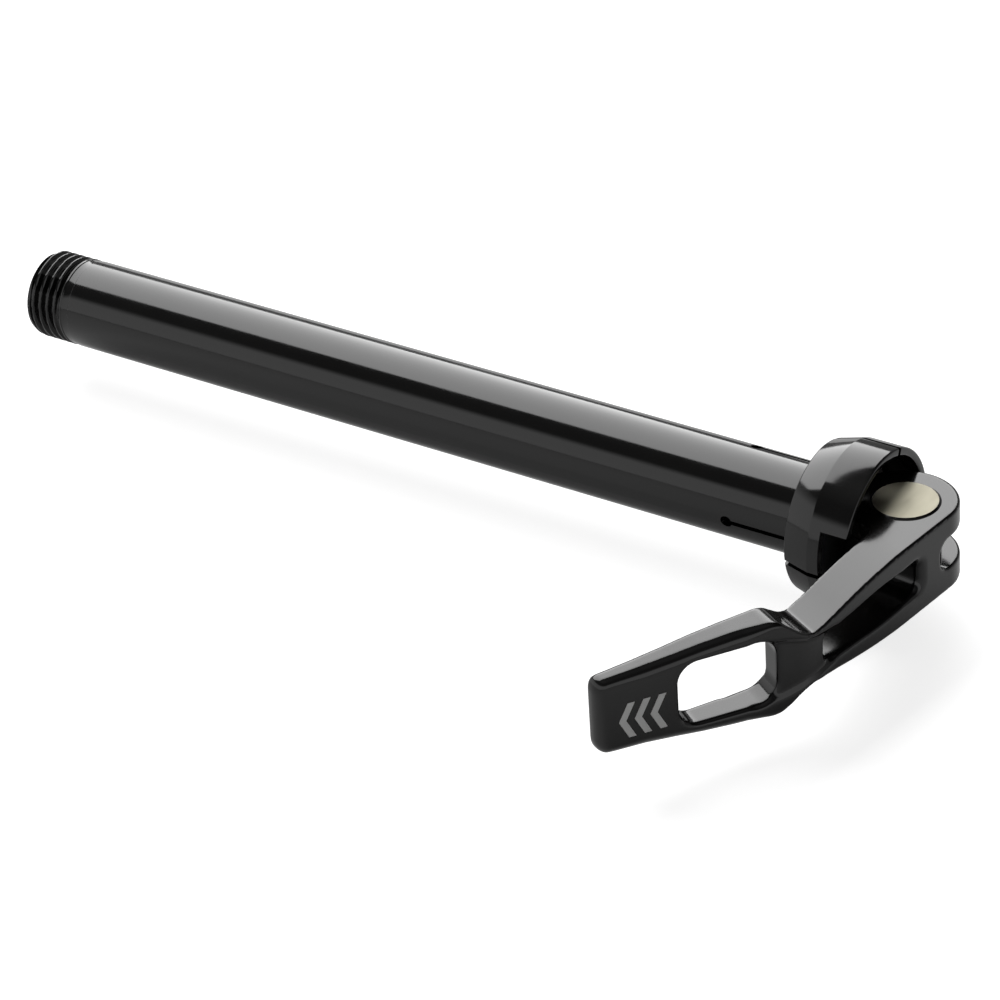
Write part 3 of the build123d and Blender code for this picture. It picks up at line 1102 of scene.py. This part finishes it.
@dataclass
class PivotPin:
    """The barrel-shaped pivot pin with brushed end faces; the black round its edge is painted shade for the
    dark gap round each end face.
    """

    lever: CamLever
    face_radius: float = 5.12
    edge_radius: float = 5.5
    proud: float = 0.28
    edge_drop: float = 0.26
    hole_radius: float = 2.5
    hole_end: float = 3.95
    hole_start: float = -9.0
    flat: float = 0.97
    steps: int = 128

    def barrel(self) -> Thing:
        """Pin turned about the pivot axis, with a bevelled edge at both ends.

        Returns:
            The barrel without its cross hole.
        """
        top = self.lever.hub_half + self.proud
        shoulder = top - self.edge_drop
        ring = rounded_ring([
            (-top, 0.001, 0.0005),
            (-top, self.face_radius, 0.03),
            (-shoulder, self.edge_radius, 0.03),
            (shoulder, self.edge_radius, 0.03),
            (top, self.face_radius, 0.03),
            (top, 0.001, 0.0005),
        ], 3)
        points, quads = turned(ring, self.steps)
        return put_mesh("pivot_pin_barrel", self.lever.upright(points), quads[:, ::-1])

    def drill(self) -> Thing:
        """Cutter of the blind cross hole for the draw bolt, turned about the axle's axis.

        Returns:
            The cutter.
        """
        start, end = self.lever.pivot_x + self.hole_start, self.lever.pivot_x + self.hole_end
        ring = np.array([
            (start, 0.001), (start, self.hole_radius), (end, self.hole_radius), (end, 0.001),
        ])
        points, quads = turned(ring, 48)
        return put_mesh("pin_drill", points, quads[:, ::-1])

    def build(self) -> Thing:
        """Make the finished pin, which stands for the node pivot_pin; its sides and bevels are black, painted
        shade for the dark gap round each end face.

        Returns:
            The piece.
        """
        thing = self.barrel()
        cut(thing, self.drill())
        smooth(thing, 20)
        dress(thing, CHAMPAGNE)
        # The sides and bevels get the black second material: painted shade for the dark gap round each end
        # face.
        thing.data.materials.append(LEVER_BLACK.material())
        normals = np.empty(len(thing.data.polygons) * 3)
        thing.data.polygons.foreach_get("normal", normals)
        painted_shade_faces = np.abs(normals[2::3]) < self.flat
        thing.data.polygons.foreach_set("material_index", painted_shade_faces.astype(np.int32))
        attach(thing, Body.DRAWBAR.value)
        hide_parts("pivot_pin")
        return thing


@dataclass
class PadPrint:
    """Plain direction mark on the paddle's outer face, a thin layer of ink."""

    lever: CamLever
    ink: float = 0.03
    start: float = 3.6
    pitch: float = 2.5
    bar: float = 1.15
    reach: float = 1.5
    half: float = 3.0
    middle_z: float = -1.1
    count: int = 3

    def build(self) -> Thing:
        """Make the chevrons, each a bent bar of even width.

        Returns:
            The piece.
        """
        points, faces = [], []
        for index in range(self.count):
            low = self.start + index * self.pitch
            near, far = low + self.reach, low + self.reach + self.bar
            ring = np.array([
                (low, 0.0), (near, self.half), (far, self.half),
                (low + self.bar, 0.0), (far, -self.half), (near, -self.half),
            ])
            solid, walls = extruded(ring, -self.ink, self.ink)
            faces += [[corner + len(solid) * index for corner in face] for face in walls]
            points.append(solid)
        lever = self.lever
        along = (*(-lever.paddle_way), 0.0)
        outward = (*heading(-lever.paddle_angle), 0.0)
        origin = (*lever.outer_tip, self.middle_z)
        spots = placed(np.concatenate(points), origin, along, (0, 0, 1), outward)
        thing = put_mesh("paddle_chevrons", spots, faces)
        recalculate(thing)
        dress(thing, PAD_PRINT)
        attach(thing, Body.LEVER.value)
        return thing


def recalculate(thing: Thing) -> None:
    """Turn all faces of closed shells outwards."""
    work = bmesh.new()
    work.from_mesh(thing.data)
    bmesh.ops.recalc_face_normals(work, faces=work.faces)
    work.to_mesh(thing.data)
    work.free()


# The studio


@dataclass
class Studio:
    """Pale floor, soft light and the camera at the photograph's angle."""

    floor_z: float = -13.44
    azimuth: float = 35.0
    elevation: float = 32.225
    roll: float = -3.838
    eye: tuple[float, float, float] = (0.27633, -0.48131, 0.35487)
    lens: float = 152.53
    panel_way: tuple[float, float, float] = (-0.55, 0.50, 0.67)
    panel_distance: float = 1.0
    panel_size: tuple[float, float] = (0.80, 1.50)
    panel_shift: tuple[float, float] = (-0.02, -0.10)
    panel_power: float = 16.2
    panel_aim: tuple[float, float, float] = (-0.03, 0.0, 0.0)
    mirrored_sky: tuple = ((0.0, 1.0), (1.0, 0.25), (0.40, 1.0), (0.52, 0.10), (0.75, 0.10))
    behind_range: tuple[float, float] = (-0.1, 0.5)
    behind_dim: tuple[float, float] = (1.0, 0.25)
    fill: float = 0.12
    floor_size: float = 4000.0
    floor_grey: float = 0.6
    floor_lift: float = 0.8
    floor_lift_mirrored: float = 0.1

    def camera(self) -> None:
        """Camera whose axes come from its azimuth, elevation and roll."""
        turn, lift, lean = (math.radians(a) for a in (self.azimuth, self.elevation, self.roll))
        back = Vector((math.cos(lift) * math.sin(turn), -math.cos(lift) * math.cos(turn), math.sin(lift)))
        flat = Vector((math.cos(turn), math.sin(turn), 0))
        right = flat * math.cos(lean) + back.cross(flat) * math.sin(lean)
        axes = Matrix((right, back.cross(right), back)).transposed().to_4x4()
        data = bpy.data.cameras.new("camera")
        data.lens = self.lens
        data.sensor_width = 36.0
        data.clip_start = 0.01
        thing = bpy.data.objects.new("camera", data)
        bpy.context.scene.collection.objects.link(thing)
        thing.matrix_world = Matrix.Translation(self.eye) @ axes
        bpy.context.scene.camera = thing

    def panel(self) -> None:
        """One long soft panel overhead, facing the axle."""
        data = bpy.data.lights.new("overhead_panel", "AREA")
        data.shape = "RECTANGLE"
        data.size, data.size_y = self.panel_size
        data.energy = self.panel_power
        thing = bpy.data.objects.new("overhead_panel", data)
        bpy.context.scene.collection.objects.link(thing)
        away = Vector(self.panel_way).normalized()
        side = Vector((0, 1, 0)).cross(away).normalized()
        axes = Matrix((side, away.cross(side), away)).transposed().to_4x4()
        middle = Vector(self.panel_aim) + away * self.panel_distance
        middle += side * self.panel_shift[0] + away.cross(side) * self.panel_shift[1]
        thing.matrix_world = Matrix.Translation(middle) @ axes

    def world(self) -> None:
        """White backdrop for the camera; mirrors see it by height, bright low down and dimmed behind."""
        world = bpy.data.worlds.new("studio")
        bpy.context.scene.world = world
        world.use_nodes = True
        tree = world.node_tree
        place = tree.nodes.new("ShaderNodeTexCoord")
        split = tree.nodes.new("ShaderNodeSeparateXYZ")
        tree.links.new(place.outputs["Generated"], split.inputs[0])
        ramp = tree.nodes.new("ShaderNodeValToRGB")
        stops = ramp.color_ramp.elements
        for index, (position, grey) in enumerate(self.mirrored_sky):
            stop = stops[index] if index < 2 else stops.new(position)
            stop.position, stop.color = position, (grey, grey, grey, 1)
        tree.links.new(split.outputs["Z"], ramp.inputs["Fac"])
        dimmed = tree.nodes.new("ShaderNodeVectorMath")
        dimmed.operation = "SCALE"
        tree.links.new(ramp.outputs["Color"], dimmed.inputs[0])
        behind = map_range(tree, split.outputs["Y"], self.behind_range, self.behind_dim)
        tree.links.new(behind, dimmed.inputs["Scale"])
        light = tree.nodes.new("ShaderNodeLightPath")
        fill = (self.fill, self.fill, self.fill)
        seen = mixed_colour(tree, light.outputs["Is Glossy Ray"], fill, dimmed.outputs["Vector"])
        shown = mixed_colour(tree, light.outputs["Is Camera Ray"], seen, (1.0, 1.0, 1.0))
        tree.links.new(shown, tree.nodes["Background"].inputs["Color"])

    def floor(self) -> None:
        """Wide pale floor that keeps the shadow and is lifted to white where the camera sees it."""
        size, level = self.floor_size, self.floor_z
        ways = np.array([(-1, -1), (1, -1), (1, 1), (-1, 1)])
        spots = np.column_stack([ways * size, np.full(4, level)])
        thing = put_mesh("floor", spots, [[0, 1, 2, 3]])
        made = bpy.data.materials.new("pale_floor")
        made.use_nodes = True
        tree = made.node_tree
        shader = tree.nodes["Principled BSDF"]
        shader.inputs["Base Color"].default_value = (self.floor_grey, self.floor_grey, self.floor_grey, 1)
        shader.inputs["Roughness"].default_value = 0.9
        shader.inputs["Specular IOR Level"].default_value = 0.1
        shader.inputs["Emission Color"].default_value = (1, 1, 1, 1)
        light = tree.nodes.new("ShaderNodeLightPath")
        mirrored = math_node(tree, "MULTIPLY", light.outputs["Is Glossy Ray"], self.floor_lift_mirrored)
        lifted = math_node(tree, "MULTIPLY_ADD", light.outputs["Is Camera Ray"], self.floor_lift, mirrored)
        tree.links.new(lifted, shader.inputs["Emission Strength"])
        thing.data.materials.append(made)

    def build(self) -> None:
        """Set up the whole studio and the plain colour view."""
        self.camera()
        self.panel()
        self.world()
        self.floor()
        bpy.context.scene.view_settings.view_transform = "Standard"


NODE_FINISHES = {
    "draw_bolt": ZINC_STEEL,
    "expander_wedge": ZINC_STEEL,
    "wedge_o_ring": RUBBER,
    "thrust_washer": POLYMER,
    "cam_washer": POLYMER,
}


def main() -> None:
    """Build the pieces in order and report each."""
    lever = CamLever()
    for build in (ThreadedShaft().build, lever.build, PivotPin(lever).build, PadPrint(lever).build):
        thing = build()
        LOG.info("%s: %d faces", thing.name, len(thing.data.polygons))
    for node, finish in NODE_FINISHES.items():
        dress_node(node, finish)
        LOG.info("%s: %s", node, finish.name)
    Studio().build()


if __name__ == "__main__":
    logging.basicConfig(level=logging.INFO, format="%(message)s")
    main()
